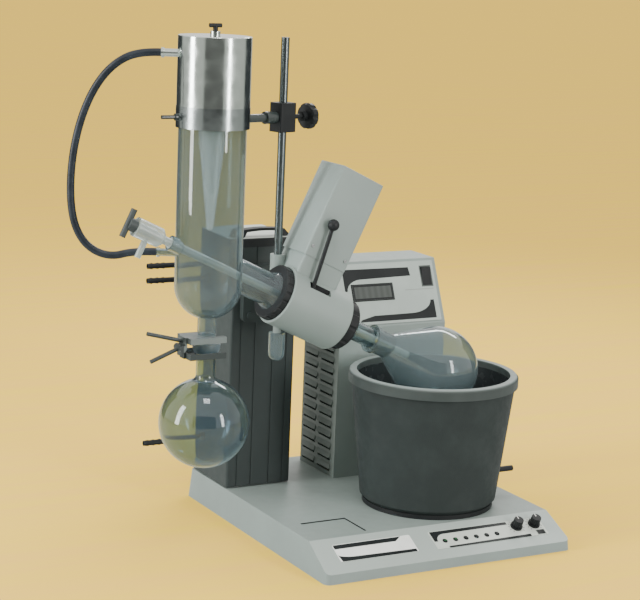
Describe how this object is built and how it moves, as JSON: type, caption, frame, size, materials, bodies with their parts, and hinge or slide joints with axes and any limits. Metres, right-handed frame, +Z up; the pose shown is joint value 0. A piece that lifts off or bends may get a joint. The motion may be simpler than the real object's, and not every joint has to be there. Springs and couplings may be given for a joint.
{
  "type": "rotary evaporator",
  "caption": "Bench rotary evaporator with a lifting, tilting drive head, a heated bath, a pear-shaped flask, an upright glass condenser and a round receiving flask.",
  "frame": {"origin": "centre of the base's outline, in the plane of its rim on the bench", "axes": "+X to the right seen from the control panel, +Y to the back, +Z up"},
  "size_m": [0.7194, 0.47, 0.774],
  "materials": {
    "pale_enamel": "satin",
    "black_enamel": "satin",
    "black_plastic": "matte",
    "bath_enamel": "satin",
    "grey_plastic": "satin",
    "white_plastic": "gloss",
    "dark_window": "gloss",
    "clear_glass": "gloss",
    "polished_steel": "polished",
    "plain_steel": "brushed",
    "plain_aluminium": "satin",
    "bearing_bronze": "satin",
    "black_rubber": "matte",
    "grey_rubber": "satin"
  },
  "bodies": {
    "base": {"base_shell": "pale_enamel", "bottom_plate": "plain_aluminium", "rubber_feet": "black_rubber", "nameplate": "white_plastic", "control_strip": "grey_plastic", "indicator_lamps": "white_plastic", "control_pots": "black_plastic", "switch_frames": "grey_plastic", "column_case": "pale_enamel", "column_fascia": "grey_plastic", "display_window": "dark_window", "lift_mast": "plain_aluminium", "strut_cylinder": "plain_steel"},
    "lift": {"tower_sleeve": "black_enamel", "tower_cap": "black_plastic", "tower_handle": "black_plastic", "strut_rod": "plain_steel", "hose_spigots": "black_plastic", "head_bracket": "black_enamel"},
    "head": {"head_housing": "pale_enamel", "motor_cover": "pale_enamel", "motor_body": "plain_steel", "drive_belt": "black_rubber", "shaft_bushes": "bearing_bronze", "shaft_seal": "black_rubber", "union_nut": "black_plastic", "support_rod": "polished_steel", "boss_head": "black_enamel", "condenser_clamp": "black_enamel", "condenser_jacket": "clear_glass", "condenser_gasket": "black_rubber", "cold_finger": "clear_glass", "condenser_cap": "polished_steel", "feed_tube": "clear_glass", "drip_vial": "clear_glass", "vacuum_hose": "grey_rubber", "clip_upper": "plain_steel"},
    "rotor": {"drive_shaft": "plain_steel", "clip_ring": "black_plastic", "vapour_duct": "clear_glass", "evaporating_flask": "clear_glass", "driven_pulley": "plain_aluminium"},
    "motor_rotor": {"motor_pulley": "plain_aluminium"},
    "lever": {"head_lever": "black_plastic"},
    "feed_valve": {"feed_key": "white_plastic"},
    "vent_valve": {"vent_key": "black_plastic"},
    "clamp_screw": {"clamp_knob": "black_plastic"},
    "clip_jaw": {"clip_lower": "plain_steel"},
    "receiver": {"receiving_flask": "clear_glass"},
    "bath": {"bath_foot": "black_plastic", "bath_pot": "bath_enamel", "bath_liner": "plain_steel", "bath_rim": "grey_plastic", "bath_heater": "plain_steel", "bath_drain": "black_plastic"},
    "heat_control": {"heat_knob": "black_plastic"},
    "speed_control": {"speed_knob": "black_plastic"},
    "pump_switch": {"base_rocker": "black_plastic"},
    "power_switch": {"panel_rocker": "black_plastic"}
  },
  "joints": [
    {"name": "head_lift", "type": "slide", "parent": "base", "child": "lift", "axis": [0, 0, 1], "range_m": [0, 0.12]},
    {"name": "head_tilt", "type": "hinge", "parent": "lift", "child": "head", "pos_m": [-0.15051, -0.063, 0.35657], "axis": [0, 1, 0], "range_deg": [-15, 10]},
    {"name": "rotor_spin", "type": "hinge", "parent": "head", "child": "rotor", "pos_m": [-0.15412, -0.063, 0.35829], "axis": [0.9026, 0, -0.4305], "continuous": true},
    {"name": "motor_spin", "type": "hinge", "parent": "head", "child": "motor_rotor", "pos_m": [-0.0966, -0.05, 0.48818], "axis": [0.9026, 0, -0.4305], "continuous": true},
    {"name": "lever_rock", "type": "hinge", "parent": "head", "child": "lever", "pos_m": [-0.17499, -0.0945, 0.39816], "axis": [0, 1, 0], "range_deg": [-10, 40]},
    {"name": "feed_turn", "type": "hinge", "parent": "head", "child": "feed_valve", "pos_m": [-0.43302, -0.063, 0.49132], "axis": [0.9026, 0, -0.4305], "range_deg": [-90, 90]},
    {"name": "vent_turn", "type": "hinge", "parent": "head", "child": "vent_valve", "pos_m": [-0.327, -0.063, 0.763], "axis": [0, 0, 1], "range_deg": [-90, 90]},
    {"name": "clamp_turn", "type": "hinge", "parent": "head", "child": "clamp_screw", "pos_m": [-0.2, -0.03, 0.64], "axis": [0.9679, 0.2515, 0], "range_deg": [-180, 180]},
    {"name": "clip_open", "type": "hinge", "parent": "head", "child": "clip_jaw", "pos_m": [-0.368, -0.063, 0.3185], "axis": [0, 1, 0], "range_deg": [0, 12], "stiffness_Nm_per_rad": 0.3, "springref_deg": -17.19},
    {"name": "receiver_turn", "type": "hinge", "parent": "head", "child": "receiver", "pos_m": [-0.327, -0.063, 0.32], "axis": [0, 0, 1], "range_deg": [-180, 180]},
    {"name": "bath_lift_off", "type": "slide", "parent": "base", "child": "bath", "axis": [0, 0, 1], "range_m": [0, 0.025]},
    {"name": "heat_turn", "type": "hinge", "parent": "base", "child": "heat_control", "pos_m": [0.136, -0.19613, 0.03374], "axis": [0, -0.4529, 0.8916], "range_deg": [0, 270]},
    {"name": "speed_turn", "type": "hinge", "parent": "base", "child": "speed_control", "pos_m": [0.168, -0.19613, 0.03374], "axis": [0, -0.4529, 0.8916], "range_deg": [0, 270]},
    {"name": "pump_rock", "type": "hinge", "parent": "base", "child": "pump_switch", "pos_m": [0.172, -0.21066, 0.02569], "axis": [0, 0.8916, 0.4529], "range_deg": [0, 16]},
    {"name": "power_rock", "type": "hinge", "parent": "base", "child": "power_switch", "pos_m": [0.156, 0.12805, 0.36067], "axis": [-1, 0, 0], "range_deg": [0, 16]}
  ],
  "couplings": [
    {"joint": "motor_spin", "follows": "rotor_spin", "ratio": 2.6043}
  ]
}
